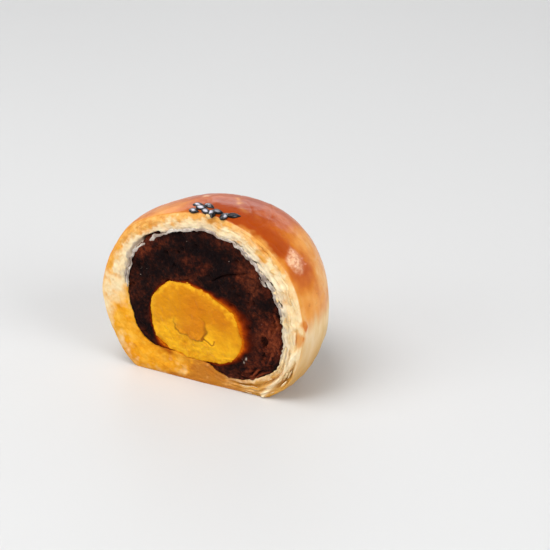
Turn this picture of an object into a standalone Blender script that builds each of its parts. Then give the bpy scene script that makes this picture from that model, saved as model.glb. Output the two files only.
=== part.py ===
"""A black sesame mooncake, cut open: a round flaky pastry with part of its front sliced away.

The cut faces the front (-Y). It shows the pastry in thin torn layers, a thick ball of dark
sesame paste, and a salted egg yolk that rests on the pastry at the bottom of the hollow.
Everything is modelled in the frame of the cut (X across it, Y into the cake, Z up) and then
moved so that the origin is the middle of the underside.
"""

import math

import bmesh
import bpy
import numpy as np
from mathutils import Matrix, Vector

MM = 0.001
TURN = 2 * math.pi
QUARTER = math.pi / 2

# The whole cake, as it was baked
HALF_WIDTH = 27.9 * MM
HEIGHT = 45.0 * MM
WIDEST_AT = 18.3 * MM  # height of its widest ring
UPPER_POWER = 2.1  # 2 is a round profile, more is squarer
LOWER_POWER = 2.65
SINK = 2.5 * MM  # how far the lower curve would go on under the flat base
LEAN = np.array([2.8, -1.3]) * MM  # how far the top leans, right and forward
CUT_CLING = 6  # a higher number keeps the drawn outline closer to the cut
BISECTIONS = 40  # how closely the skin is searched for along each direction
CROWN_STEPS = 4
NEARLY_LEVEL = 1e-6

# Where the knife went, and the middle of the underside behind it
CUT_BEFORE_AXIS = 6.9 * MM
CUT_FACE_Y = -17.08 * MM
CUT_MIDDLE_X = -0.59 * MM

# Outlines on the cut, in millimetres across and up. Below 0 the board has flattened the skin.
HEART = np.array([0.8, 19.0])
SKIN = (
    (28.0, 19.0), (27.2, 24.6), (26.0, 29.0), (23.8, 33.2), (20.7, 36.6), (17.4, 39.4),
    (13.3, 41.6), (9.2, 43.0), (5.1, 43.8), (1.0, 43.9), (-3.0, 43.3), (-8.2, 41.9),
    (-12.6, 40.2), (-16.6, 38.0), (-19.8, 35.3), (-22.5, 31.5), (-24.6, 27.5), (-26.1, 23.1),
    (-26.8, 18.4), (-26.1, 13.4), (-23.8, 8.0), (-20.0, 1.8), (-12.0, -2.2), (0.0, -3.5),
    (12.0, -2.6), (19.4, 0.6), (23.0, 3.3), (25.8, 8.1), (27.4, 13.8),
)
HOLLOW = (
    (23.0, 17.5), (22.2, 23.5), (19.4, 29.1), (16.4, 32.8), (12.6, 36.3), (7.5, 38.9),
    (1.5, 39.9), (-4.4, 38.9), (-9.5, 37.3), (-13.9, 34.7), (-17.3, 30.5), (-18.9, 25.0),
    (-19.1, 19.6), (-17.8, 13.8), (-15.3, 9.0), (-11.5, 6.9), (-8.3, 6.8), (-3.0, 5.2),
    (3.0, 4.9), (6.2, 3.7), (11.3, 3.2), (17.3, 5.1), (21.1, 8.3), (22.8, 13.0),
)
YOLK_HEART = np.array([-0.5, 15.4])
YOLK = (
    (12.3, 12.8), (11.6, 16.2), (9.8, 19.6), (6.8, 22.1), (3.0, 23.9), (-1.2, 25.2), (-5.0, 25.6),
    (-8.5, 24.6), (-11.3, 22.2), (-12.9, 19.5), (-13.4, 16.0), (-12.9, 12.4), (-11.2, 9.1),
    (-8.7, 7.4), (-5.3, 6.3), (-1.8, 5.7), (2.4, 5.6), (5.8, 5.8), (10.6, 8.7),
)
CORE_HEART = np.array([-1.8, 15.0])
CORE = (
    (2.4, 15.2), (1.0, 17.4), (-3.0, 18.6), (-5.6, 16.6), (-5.9, 13.5), (-2.5, 12.1),
    (0.0, 11.3), (1.9, 12.2),
)

# Depths behind the cut
HOLLOW_DEPTH = 21.9 * MM  # half length of the paste ball, front to back
YOLK_MIDDLE = 1.0 * MM
YOLK_DEPTH = 11.0 * MM
GAP = 0.36 * MM  # clearance between pieces that touch
ROOM_PROUD = 3 * MM  # how far the cutter for the yolk's room stands out of the cut

# Relief of the cut
LAYERS = 3.5  # torn pastry layers between paste and skin
LAYER_DEPTH = 0.42 * MM
LAYERS_EVERYWHERE = 0.4  # share of that depth at the left and top, more at the lower right
LAYERS_LOW_RIGHT = (-35, 45, 0.6)  # direction and width in degrees, extra share
LAYERS_RIGHT = (20, 30, 0.25)
LAYER_WAVES = ((3, 0.7, 0.30), (7, 2.1, 0.22))  # waves in a turn, where they start, their share
SKIN_ROUNDING = 0.7 * MM  # how far the cut edge of the skin rolls back
ROUNDING_CLING = 6  # a higher number rounds only the last of the edge
PASTE_SET_BACK = 0.25 * MM
PASTE_DEPTH = 0.45 * MM  # height of the paste's lumps
COARSE_LUMPS = 1.9 * MM
FINE_LUMPS = 1.4 * MM
COARSE_SHARE = 0.6
COARSE_BEND = 1.3  # how far the rows of lumps sway
FINE_BEND = 1.7
YOLK_DOME = 0.25 * MM
CORE_STEP = 0.3 * MM  # how far the darker middle of the yolk stands out
# Folds in the pastry: first and last angle, place at each (0 paste, 1 skin), depth
FOLDS = (
    (math.radians(-68), math.radians(-22), 0.30, 0.42, 0.9 * MM),
    (math.radians(-47), math.radians(-16), 0.62, 0.84, 1.1 * MM),
    (math.radians(128), math.radians(150), 0.16, 0.08, 0.6 * MM),
)
FOLD_WIDTH = 0.09
FOLD_FADE = 0.5  # a lower number keeps a fold deep closer to its ends

# Sesame seeds on the crown: across, behind the cut, turn, tilt, height above the skin
SEED_SIZE = np.array([3.3, 1.75, 1.0]) * MM
SEED_TAPER = 0.45  # how much narrower a seed's pointed end is
SEED_BED = 0.15  # a seed's middle is this share of its thickness above the skin
SLOPE_STEP = 0.5 * MM  # distance over which the skin's slope under a seed is taken
SEEDS = (
    (-1.4, 4.1, -6, 0, 0.0), (1.6, 4.0, -22, 0, 0.0), (0.4, 2.5, -6, 0, 0.1),
    (-0.9, 1.1, -13, 0, 0.0), (2.4, 1.2, -15, 0, 0.1), (4.0, 0.9, -62, 0, 0.0),
    (4.8, 2.3, 3, 0, 0.1), (6.9, 1.6, 86, 0, 0.0), (8.5, 3.2, 39, 0, 0.0),
)

# How finely each piece is divided
ROUND_STEPS = 100
OUTER_RINGS = 12
LAYER_RINGS = 9
HOLLOW_RINGS = 6
PASTE_STEPS = 72
PASTE_RINGS = 7
YOLK_STEPS = 48
YOLK_RINGS = 5
YOLK_SHARES = (0.88, 0.6, 0.3, 0.06)  # rings on its face, from its edge to its core
CORE_SHARES = (0.94, 0.5)
SEED_SIDES = 6
SEED_BANDS = 4
SHARP_ANGLE = math.radians(50)

# Colours
PASTRY_COLOUR = (0.78, 0.48, 0.20)
PASTE_COLOUR = (0.035, 0.016, 0.011)
YOLK_COLOUR = (0.90, 0.44, 0.03)
SESAME_COLOUR = (0.008, 0.008, 0.010)


def clear_scene():
    for obj in list(bpy.data.objects):
        bpy.data.objects.remove(obj, do_unlink=True)


def material(name, colour, roughness, coat=0.0):
    made = bpy.data.materials.new(name)
    made.use_nodes = True
    made.diffuse_color = (*colour, 1.0)
    shader = made.node_tree.nodes["Principled BSDF"]
    shader.inputs["Base Color"].default_value = (*colour, 1.0)
    shader.inputs["Roughness"].default_value = roughness
    shader.inputs["Metallic"].default_value = 0.0
    shader.inputs["Coat Weight"].default_value = coat
    return made


def outline_reach(points, heart, turn):
    """Distance from heart to a smooth closed outline through the points, at each angle."""
    away = (np.array(points) - heart) * MM
    angle = np.arctan2(away[:, 1], away[:, 0]) % TURN
    order = np.argsort(angle)
    angle = np.concatenate([angle[order] + lap for lap in (-TURN, 0, TURN)])
    reach = np.tile(np.hypot(away[:, 0], away[:, 1])[order], 3)
    slope = np.gradient(reach, angle)
    turn = turn % TURN
    at = np.searchsorted(angle, turn, side="right") - 1
    span = angle[at + 1] - angle[at]
    t = (turn - angle[at]) / span
    start = (1 + 2 * t) * (1 - t) ** 2 * reach[at] + t * (1 - t) ** 2 * span * slope[at]
    end = t**2 * (3 - 2 * t) * reach[at + 1] + t**2 * (t - 1) * span * slope[at + 1]
    return start + end


def dome_level(x, y, z):
    """Below 1 inside the baked cake, 1 on its skin, above 1 outside it."""
    rise = np.clip(z / HEIGHT, 0, 1) ** 2
    across = np.hypot(x - LEAN[0] * rise, y - CUT_BEFORE_AXIS - LEAN[1] * rise)
    above = z > WIDEST_AT
    power = np.where(above, UPPER_POWER, LOWER_POWER)
    half_height = np.where(above, HEIGHT - WIDEST_AT, WIDEST_AT + SINK)
    return (across / HALF_WIDTH) ** power + (np.abs(z - WIDEST_AT) / half_height) ** power


def dome_reach(right, back, up):
    """Distance from the heart of the cut to the skin, along unit directions."""
    inside = np.zeros_like(up)
    outside = np.full_like(up, 3 * HALF_WIDTH)
    for _ in range(BISECTIONS):
        middle = (inside + outside) / 2
        x = HEART[0] * MM + right * middle
        z = HEART[1] * MM + up * middle
        is_inside = dome_level(x, back * middle, z) < 1
        inside = np.where(is_inside, middle, inside)
        outside = np.where(is_inside, outside, middle)
    return outside


def board_reach(up):
    """Distance from the heart down to the board, along unit directions."""
    return HEART[1] * MM / np.maximum(-up, NEARLY_LEVEL)


def skin_points(turn, swing):
    """Points of the skin. A swing of 0 is straight back, a quarter turn is on the cut."""
    right = np.cos(turn) * np.sin(swing)
    up = np.sin(turn) * np.sin(swing)
    back = np.cos(swing)
    on_cut = dome_reach(np.cos(turn), np.zeros_like(turn), np.sin(turn))
    drawn = outline_reach(SKIN, HEART, turn) / on_cut
    reach = dome_reach(right, back, up) * (1 + (drawn - 1) * np.sin(swing) ** CUT_CLING)
    reach = np.minimum(reach, board_reach(up))
    height = np.maximum(HEART[1] * MM + up * reach, 0)
    return np.stack([HEART[0] * MM + right * reach, back * reach, height], axis=-1)


def crown_point(x, y):
    """The point of the skin above a place near the top of the cake."""
    aim = np.array([x, y, HEIGHT])
    for _ in range(CROWN_STEPS):
        away = aim - (HEART[0] * MM, 0, HEART[1] * MM)
        turn = np.arctan2(away[2], away[0])
        swing = np.arccos(away[1] / np.linalg.norm(away))
        aim[2] = skin_points(np.array([turn]), np.array([swing]))[0, 2]
    return aim


def back_rings(reach, turn, heart, middle, half_depth, count):
    """Rings of a rounded body from near its back to its outline on the cut, and its back point."""
    last = -math.asin(middle / half_depth)
    rings = []
    for step in range(1, count + 1):
        swing = QUARTER + (last - QUARTER) * step / count
        share = math.cos(swing) / math.cos(last)
        depth = middle + half_depth * math.sin(swing)
        rings.append(face_ring(reach * share, turn, heart, depth))
    return Vector((heart[0] * MM, middle + half_depth, heart[1] * MM)), rings


def face_ring(reach, turn, heart, depth):
    x = heart[0] * MM + reach * np.cos(turn)
    z = heart[1] * MM + reach * np.sin(turn)
    return np.stack([x, np.zeros_like(turn) + depth, z], axis=1)


def sector(turn, middle, width):
    """1 in a middle direction, in degrees, falling smoothly to 0 on both sides."""
    away = (np.degrees(turn) - middle + 180) % 360 - 180
    return np.exp(-((away / width) ** 2))


def layer_relief(turn, share):
    """How far the torn pastry stands out of the cut, from the paste (0) to the skin (1)."""
    wander = sum(part * np.sin(waves * turn + start) for waves, start, part in LAYER_WAVES)
    strength = LAYERS_EVERYWHERE
    for middle, width, extra in (LAYERS_LOW_RIGHT, LAYERS_RIGHT):
        strength = strength + extra * sector(turn, middle, width)
    relief = LAYER_DEPTH * strength * np.sin(TURN * (LAYERS * share + wander))
    relief = relief - SKIN_ROUNDING * share**ROUNDING_CLING
    signed = (turn + math.pi) % TURN - math.pi
    for start, end, low, high, depth in FOLDS:
        along = (signed - start) / (end - start)
        place = low + (high - low) * along
        fade = np.clip(np.sin(np.pi * np.clip(along, 0, 1)), 0, 1) ** FOLD_FADE
        relief = relief - depth * fade * np.exp(-(((share - place) / FOLD_WIDTH) ** 2))
    return relief


def paste_relief(x, z):
    """Lumps left by the knife in the dense paste."""
    coarse = np.sin(x / COARSE_LUMPS + COARSE_BEND * np.sin(z / (2 * FINE_LUMPS)))
    fine = np.sin(z / FINE_LUMPS + FINE_BEND * np.sin(x / COARSE_LUMPS))
    return PASTE_DEPTH * (COARSE_SHARE * coarse + (1 - COARSE_SHARE) * fine)


def closed_body(name, first, rings, last, made_of):
    """One closed piece from rings of points, with a single point at each end."""
    bm = bmesh.new()
    loops = [[bm.verts.new(point) for point in ring] for ring in rings]
    sides = len(loops[0])
    for near, far in zip(loops, loops[1:]):
        for i in range(sides):
            j = (i + 1) % sides
            bm.faces.new((near[i], near[j], far[j], far[i]))
    for point, loop in ((first, loops[0]), (last, loops[-1])):
        tip = bm.verts.new(point)
        for i in range(sides):
            bm.faces.new((tip, loop[i], loop[(i + 1) % sides]))
    bmesh.ops.recalc_face_normals(bm, faces=bm.faces)
    mesh = bpy.data.meshes.new(name)
    bm.to_mesh(mesh)
    bm.free()
    return add_object(name, mesh, made_of)


def add_object(name, mesh, made_of):
    mesh.materials.append(made_of)
    mesh.shade_smooth()
    mesh.set_sharp_from_angle(angle=SHARP_ANGLE)
    obj = bpy.data.objects.new(name, mesh)
    obj.location = (CUT_MIDDLE_X, CUT_FACE_Y, 0)
    bpy.context.scene.collection.objects.link(obj)
    return obj


def apply_boolean(obj, operation, other=None, collection=None):
    cut = obj.modifiers.new("join" if operation == "UNION" else "cut", "BOOLEAN")
    cut.operation = operation
    cut.solver = "EXACT"
    if collection:
        cut.operand_type = "COLLECTION"
        cut.collection = collection
    else:
        cut.object = other
    bpy.context.view_layer.update()
    graph = bpy.context.evaluated_depsgraph_get()
    mesh = bpy.data.meshes.new_from_object(obj.evaluated_get(graph))
    obj.modifiers.remove(cut)
    obj.data = mesh
    mesh.shade_smooth()
    mesh.set_sharp_from_angle(angle=SHARP_ANGLE)


def make_crust(made_of):
    turn = np.arange(ROUND_STEPS) * TURN / ROUND_STEPS
    rings = []
    for step in range(1, OUTER_RINGS):
        rings.append(skin_points(turn, np.full_like(turn, QUARTER * step / OUTER_RINGS)))
    skin = outline_reach(SKIN, HEART, turn)
    skin = np.minimum(skin, board_reach(np.sin(turn)))
    hollow = outline_reach(HOLLOW, HEART, turn)
    for step in range(LAYER_RINGS + 1):
        share = 1 - step / LAYER_RINGS
        ring = face_ring(hollow + (skin - hollow) * share, turn, HEART, 0)
        ring[:, 1] = -layer_relief(turn, share)
        ring[:, 2] = np.maximum(ring[:, 2], 0)
        rings.append(ring)
    back, inner = back_rings(hollow, turn, HEART, CUT_BEFORE_AXIS, HOLLOW_DEPTH, HOLLOW_RINGS)
    rings += inner[-2::-1]
    far_back = skin_points(np.zeros(1), np.zeros(1))[0]
    return closed_body("crust", far_back, rings, back, made_of)


def seed_object(number, place, made_of):
    """A flat drop, pointed at one end, lying on the skin."""
    across, behind, yaw, tilt, lift = place
    bm = bmesh.new()
    bmesh.ops.create_uvsphere(bm, u_segments=SEED_SIDES, v_segments=SEED_BANDS, radius=0.5)
    bmesh.ops.rotate(bm, verts=bm.verts, matrix=Matrix.Rotation(QUARTER, 3, "Y"))
    for vert in bm.verts:
        vert.co.y *= 1 - SEED_TAPER * (vert.co.x + 0.5) ** 2
        vert.co *= Vector(SEED_SIZE)
    x, y = across * MM, behind * MM
    base = Vector(crown_point(x, y))
    right = Vector(crown_point(x + SLOPE_STEP, y)) - base
    back = Vector(crown_point(x, y + SLOPE_STEP)) - base
    along = right.normalized()
    normal = right.cross(back).normalized()
    lie = Matrix((along, normal.cross(along), normal)).transposed().to_4x4()
    spin = Matrix.Rotation(math.radians(yaw), 4, "Z") @ Matrix.Rotation(math.radians(tilt), 4, "Y")
    base += normal * (lift * MM + SEED_BED * SEED_SIZE[2])
    bm.transform(Matrix.Translation(base) @ lie @ spin)
    mesh = bpy.data.meshes.new(f"seed_{number}")
    bm.to_mesh(mesh)
    bm.free()
    return add_object(f"seed_{number}", mesh, made_of)


def fuse_seeds(crust, made_of):
    scattered = bpy.data.collections.new("seeds")
    bpy.context.scene.collection.children.link(scattered)
    for number, place in enumerate(SEEDS):
        seed = seed_object(number, place, made_of)
        bpy.context.scene.collection.objects.unlink(seed)
        scattered.objects.link(seed)
    apply_boolean(crust, "UNION", collection=scattered)
    for seed in list(scattered.objects):
        bpy.data.objects.remove(seed, do_unlink=True)
    bpy.data.collections.remove(scattered)


def make_paste(made_of, yolk_cutter):
    turn = np.arange(PASTE_STEPS) * TURN / PASTE_STEPS
    reach = outline_reach(HOLLOW, HEART, turn) - GAP
    back, rings = back_rings(reach, turn, HEART, CUT_BEFORE_AXIS, HOLLOW_DEPTH - GAP, PASTE_RINGS)
    rings[-1][:, 1] = PASTE_SET_BACK
    for step in range(1, PASTE_RINGS + 1):
        ring = face_ring(reach * (1 - step / (PASTE_RINGS + 1)), turn, HEART, 0)
        ring[:, 1] = PASTE_SET_BACK - paste_relief(ring[:, 0], ring[:, 2])
        rings.append(ring)
    front = Vector((HEART[0] * MM, PASTE_SET_BACK, HEART[1] * MM))
    paste = closed_body("filling", back, rings, front, made_of)
    apply_boolean(paste, "DIFFERENCE", yolk_cutter)
    return paste


def make_yolk(made_of):
    turn = np.arange(YOLK_STEPS) * TURN / YOLK_STEPS
    reach = outline_reach(YOLK, YOLK_HEART, turn)
    back, rings = back_rings(reach, turn, YOLK_HEART, YOLK_MIDDLE, YOLK_DEPTH, YOLK_RINGS)
    edge = rings[-1]
    middle = face_ring(0, turn, CORE_HEART, 0)
    core = face_ring(outline_reach(CORE, CORE_HEART, turn), turn, CORE_HEART, 0)
    for share in YOLK_SHARES:
        ring = core + (edge - core) * share
        ring[:, 1] = -YOLK_DOME * (1 - share**2)
        rings.append(ring)
    for share in CORE_SHARES:
        ring = middle + (core - middle) * share
        ring[:, 1] = -YOLK_DOME - CORE_STEP
        rings.append(ring)
    front = Vector((CORE_HEART[0] * MM, -YOLK_DOME - CORE_STEP, CORE_HEART[1] * MM))
    return closed_body("yolk", back, rings, front, made_of)


def make_yolk_cutter(made_of):
    """The yolk's room in the paste: its shape with the gap round it, open to the front."""
    turn = np.arange(YOLK_STEPS) * TURN / YOLK_STEPS
    reach = outline_reach(YOLK, YOLK_HEART, turn) + GAP
    back, rings = back_rings(reach, turn, YOLK_HEART, YOLK_MIDDLE, YOLK_DEPTH + GAP, YOLK_RINGS)
    rings.append(face_ring(reach, turn, YOLK_HEART, -ROOM_PROUD))
    front = Vector((YOLK_HEART[0] * MM, -ROOM_PROUD, YOLK_HEART[1] * MM))
    cutter = closed_body("yolk_room", back, rings, front, made_of)
    cutter.hide_render = True
    cutter.display_type = "WIRE"
    return cutter


def main():
    clear_scene()
    pastry = material("pastry", PASTRY_COLOUR, 0.45, coat=0.4)
    paste = material("sesame_paste", PASTE_COLOUR, 0.6)
    yolk = material("yolk", YOLK_COLOUR, 0.4)
    sesame = material("black_sesame", SESAME_COLOUR, 0.25, coat=0.5)
    crust = make_crust(pastry)
    fuse_seeds(crust, sesame)
    make_yolk(yolk)
    cutter = make_yolk_cutter(yolk)
    make_paste(paste, cutter)
    bpy.data.objects.remove(cutter, do_unlink=True)


main()
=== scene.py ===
"""Looks of the cut black sesame mooncake: glazed flaky pastry, dark paste, salted egg yolk, seeds."""

import itertools
import math

import bpy
import numpy as np
from mathutils import Matrix, Vector


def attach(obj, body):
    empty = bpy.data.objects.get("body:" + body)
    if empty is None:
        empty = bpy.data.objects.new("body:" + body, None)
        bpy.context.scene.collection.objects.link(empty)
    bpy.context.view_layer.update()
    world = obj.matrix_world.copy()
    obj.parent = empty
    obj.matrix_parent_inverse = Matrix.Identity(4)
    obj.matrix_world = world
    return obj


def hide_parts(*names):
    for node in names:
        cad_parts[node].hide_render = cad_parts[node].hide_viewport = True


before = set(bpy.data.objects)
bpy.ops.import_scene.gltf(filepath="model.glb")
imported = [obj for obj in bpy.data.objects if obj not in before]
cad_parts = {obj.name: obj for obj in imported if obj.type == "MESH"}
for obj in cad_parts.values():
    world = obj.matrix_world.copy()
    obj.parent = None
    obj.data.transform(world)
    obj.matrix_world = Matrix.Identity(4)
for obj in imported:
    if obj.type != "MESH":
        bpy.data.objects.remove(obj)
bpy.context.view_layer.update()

MM = 0.001
TURN = 2 * math.pi
QUARTER = math.pi / 2

# The whole cake, as in the model: a dome that leans a little, flattened underneath
HALF_WIDTH = 27.9 * MM
HEIGHT = 45.0 * MM
WIDEST_AT = 18.3 * MM
UPPER_POWER = 2.1
LOWER_POWER = 2.65
SINK = 2.5 * MM
LEAN = np.array([2.8, -1.3]) * MM
CUT_BEFORE_AXIS = 6.9 * MM
CUT_FACE_Y = -17.08 * MM
CUT_MIDDLE_X = -0.59 * MM
CUT_CLING = 6  # a higher number keeps the drawn outline closer to the cut
BISECTIONS = 40  # how closely the skin is searched for along each direction
CROWN_STEPS = 4
NEARLY_LEVEL = 1e-6

# Outlines on the cut, in millimetres across and up, as in the model
HEART = np.array([0.8, 19.0])
SKIN = (
    (28.0, 19.0), (27.2, 24.6), (26.0, 29.0), (23.8, 33.2), (20.7, 36.6), (17.4, 39.4),
    (13.3, 41.6), (9.2, 43.0), (5.1, 43.8), (1.0, 43.9), (-3.0, 43.3), (-8.2, 41.9),
    (-12.6, 40.2), (-16.6, 38.0), (-19.8, 35.3), (-22.5, 31.5), (-24.6, 27.5), (-26.1, 23.1),
    (-26.8, 18.4), (-26.1, 13.4), (-23.8, 8.0), (-20.0, 1.8), (-12.0, -2.2), (0.0, -3.5),
    (12.0, -2.6), (19.4, 0.6), (23.0, 3.3), (25.8, 8.1), (27.4, 13.8),
)
HOLLOW = (
    (23.0, 17.5), (22.2, 23.5), (19.4, 29.1), (16.4, 32.8), (12.6, 36.3), (7.5, 38.9),
    (1.5, 39.9), (-4.4, 38.9), (-9.5, 37.3), (-13.9, 34.7), (-17.3, 30.5), (-18.9, 25.0),
    (-19.1, 19.6), (-17.8, 13.8), (-15.3, 9.0), (-11.5, 6.9), (-8.3, 6.8), (-3.0, 5.2),
    (3.0, 4.9), (6.2, 3.7), (11.3, 3.2), (17.3, 5.1), (21.1, 8.3), (22.8, 13.0),
)
YOLK_HEART = np.array([-0.5, 15.4])
YOLK = (
    (12.3, 12.8), (11.6, 16.2), (9.8, 19.6), (6.8, 22.1), (3.0, 23.9), (-1.2, 25.2), (-5.0, 25.6),
    (-8.5, 24.6), (-11.3, 22.2), (-12.9, 19.5), (-13.4, 16.0), (-12.9, 12.4), (-11.2, 9.1),
    (-8.7, 7.4), (-5.3, 6.3), (-1.8, 5.7), (2.4, 5.6), (5.8, 5.8), (10.6, 8.7),
)
CORE_HEART = np.array([-1.8, 15.0])
CORE = (
    (2.4, 15.2), (1.0, 17.4), (-3.0, 18.6), (-5.6, 16.6), (-5.9, 13.5), (-2.5, 12.1),
    (0.0, 11.3), (1.9, 12.2),
)
CURL = ((1.9, 12.2), (3.4, 11.5), (4.3, 10.9), (4.8, 11.2), (4.9, 12.0))  # runs off the core

# How far the hollow and the yolk reach behind the cut
HOLLOW_DEPTH = 21.9 * MM
YOLK_MIDDLE = 1.0 * MM
YOLK_DEPTH = 11.0 * MM

# Relief of the cut, as in the model
LAYERS = 3.5
LAYER_DEPTH = 0.42 * MM
LAYERS_EVERYWHERE = 0.10
LAYERS_LOW_RIGHT = (-40, 30, 0.32)
LAYERS_RIGHT = (10, 32, 0.22)
LAYER_WAVES = ((3, 0.7, 0.30), (7, 2.1, 0.22))  # waves in a turn, where they start, their share
LAYER_DRIFT = 0.28
SKIN_ROUNDING = 0.7 * MM  # how far the cut edge of the skin rolls back
ROUNDING_CLING = 6  # a higher number rounds only the last of the edge
PASTE_SET_BACK = 0.25 * MM
FOLDS = (  # from angle, to angle, share of the way to the skin at each, depth
    (math.radians(-68), math.radians(-22), 0.30, 0.42, 0.9 * MM),
    (math.radians(-47), math.radians(-16), 0.62, 0.84, 1.1 * MM),
    (math.radians(128), math.radians(150), 0.16, 0.08, 0.6 * MM),
)
FOLD_WIDTH = 0.09

# Finer relief of the cut pastry, that only shows close up
RIBBON = ((17.8, 0.5), (18.9, 2.2), (21.9, 5.8), (24.6, 10.1), (26.7, 14.2))  # a fold that stands out
RIBBON_HEIGHT = 0.70 * MM
RECESS = ((21.4, 4.8), (25.1, 6.5))  # the hollow outside it
FLAKE_DEPTH = 0.13 * MM
FLAKE_SPACING = 0.55
TEAR_DEPTH = 0.25 * MM
CRUMB_DEPTH = 0.10 * MM
GAP_DEPTH = 0.6 * MM
POCKET = ((-14.2, 34.6), (-10.2, 36.8))  # under the loose skin at the upper left
POCKET_DEPTH = 1.3 * MM
POCKET_OPEN = 0.8 * MM  # how far the loose skin stands away from the pastry there
STAIN = ((-12.4, 8.0), (-7.6, 6.4))  # brown oil at the left tip of the paste
RAGGED = 0.22 * MM  # how far the torn edge between pastry and paste wanders
UNDER_YOLK = 0.75 * MM  # how far the pastry rises to meet the yolk

# Relief and marks of the skin, in millimetres across, behind the cut and up
HAND_DEPTH = 0.22 * MM  # broad unevenness from shaping by hand
WASH_THICKNESS = 0.07 * MM
WASH_ROUGHNESS = 0.045 * MM
CREASE_DEPTH = 0.10 * MM
DOUGH_DEPTH = 0.11 * MM  # of the bare pastry below the egg wash
WRINKLE_DEPTH = 0.10 * MM
CRINKLE = np.array([23.4, 5.6, 34.8])  # middle of the wrinkled patch, which also carries a painted highlight
CRINKLE_REACH = np.array([2.9, 3.1, 3.3])
CHIPPED = np.array([-3.3, 10.8, 43.8])  # a chip in the glaze behind the seeds
DRIPS = np.array([(28.2, 1.5, 20.4), (27.5, 0.1, 17.3)])  # of egg wash, below its edge
DRIP_REACH = np.array([1.5, 1.1, 1.8])
VEIN = (  # a crease in the glaze: across and behind the cut
    (3.6, 14.5), (6.5, 9.3), (7.8, 7.6), (10.9, 7.3), (14.2, 6.8), (16.7, 6.8), (18.7, 7.2), (21.4, 7.6),
)

# Paste: relief, and marks in millimetres across and up
PASTE_LAP = 0.15 * MM  # how far it reaches under the pastry
PASTE_UNDER_YOLK = 0.25 * MM
THIN_PASTE = (0.3 * MM, 1.6 * MM)  # where it is this thin it lies further back
THIN_SET_BACK = 1.2 * MM
GRAIN = 0.75  # size of its grains, in millimetres
GRAIN_HEIGHT = 0.20 * MM
LUMP_HEIGHT = 0.34 * MM
PIT_DEPTH = 0.55 * MM
RIDGE_HEIGHT = 0.32 * MM
CRACK = ((4.2, 27.4), (6.3, 28.9), (9.5, 30.2), (13, 31))
CRACK_DEPTH = 0.6 * MM
HOLES = (((18.2, 14.4), (0.75, 1.7), 1.0), ((18.0, 11.2), (0.7, 1.0), 0.8))  # middle, reach, share
HOLE_DEPTH = 0.9 * MM
SEAM_DEPTH = 0.35 * MM  # all along the pastry
PARTED_DEPTH = 1.2 * MM  # where the paste has come away from it on the right
SPECKS = ((12.1, 9.0), (13.4, 9.3), (12.7, 8.2))

# Relief of the yolk
YOLK_BULGE = 0.35 * MM
YOLK_RINGS_HEIGHT = 0.06 * MM
YOLK_CRUMB = 0.07 * MM
YOLK_WAVES = 0.12 * MM
YOLK_LUMPS = 0.24 * MM
YOLK_CHIPS = 0.1 * MM
YOLK_ROUNDING = 0.5 * MM
CORE_HEIGHT = 0.38 * MM
CURL_HEIGHT = 0.2 * MM
GRANULE_HEIGHT = 0.22 * MM

# Sesame seeds on the crown: across, behind the cut, turn, height above the skin, strength of the painted
# highlight
SEED_SIZE = np.array([3.3, 1.75, 1.0]) * MM
SEED_SWELL = (1.04, 1.06, 1.35)  # how much fuller they are than those of the solid
SEED_SIDES = 20
SEED_STEPS = 22
SEED_BED = 0.27  # a seed's middle is this share of its thickness above the skin
SLOPE_STEP = 0.5 * MM  # distance over which the skin's slope under a seed is taken
SEEDS = (
    (-1.4, 4.1, -6, 0.0, 1.0), (1.6, 4.0, -22, 0.0, 0.8), (0.4, 2.5, -6, 0.1, 1.0),
    (-0.9, 1.1, -13, 0.0, 0.9), (2.4, 1.2, -15, 0.1, 0.9), (4.0, 0.9, -62, 0.0, 1.0),
    (4.8, 2.3, 3, 0.1, 0.4), (6.9, 1.6, 86, 0.0, 1.0), (8.5, 3.2, 39, 0.0, 0.1),
)

# Shreds: from angle, to angle, how many, lowest and highest share of the way from paste to skin
GREY_SHREDS = (
    (62, 114, 14, 0.00, 0.12), (144, 172, 12, 0.00, 0.14),
    (8, 62, 40, 0.00, 0.16), (33, 36, 4, -0.16, -0.04),
)
PALE_SHREDS = ((-35, 25, 26, 0.05, 0.8), (-56, -25, 14, 0.2, 0.9))
SHRED_STEPS = 10
SHRED_ROWS = 4
SHRED_THICKNESS = 0.09 * MM
SHRED_CLEAR = 0.3 * MM  # least height above the floor
LOOSE_SKIN = (66, 174, 0.5)  # from angle, to angle, step
LOOSE_SKIN_ROWS = 5
LOOSE_SKIN_THICKNESS = 0.12 * MM
CHIP_AT = (3.6, -0.2)  # a crumb between the seeds: across and behind the cut
CHIP = ((-0.8, 0.2), (-0.2, 0.55), (0.75, 0.45), (0.85, -0.25), (0.3, -0.7), (-0.4, -0.45))

# How finely each piece is divided
ROUND_STEPS = 600
SKIN_RINGS = 98
LAYER_RINGS = 60
HOLLOW_RINGS = 8
PASTE_STEPS = 720
PASTE_RINGS = 100
YOLK_STEPS = 420
YOLK_RINGS = 90
PASTE_BACK_RINGS = 12
ROOM_RINGS = 8
YOLK_BACK_RINGS = 16
SKIN_SPACING = 1.25  # above 1 the rings of the skin lie closer together toward the cut

# The photograph's view of it
CAMERA_AZIMUTH = math.radians(28)
CAMERA_ELEVATION = math.radians(24)
CAMERA_DISTANCE = 0.540
CAMERA_TARGET = Vector((-0.0140, 0.0478, 0.0))
CAMERA_LENS = 130.3

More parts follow.
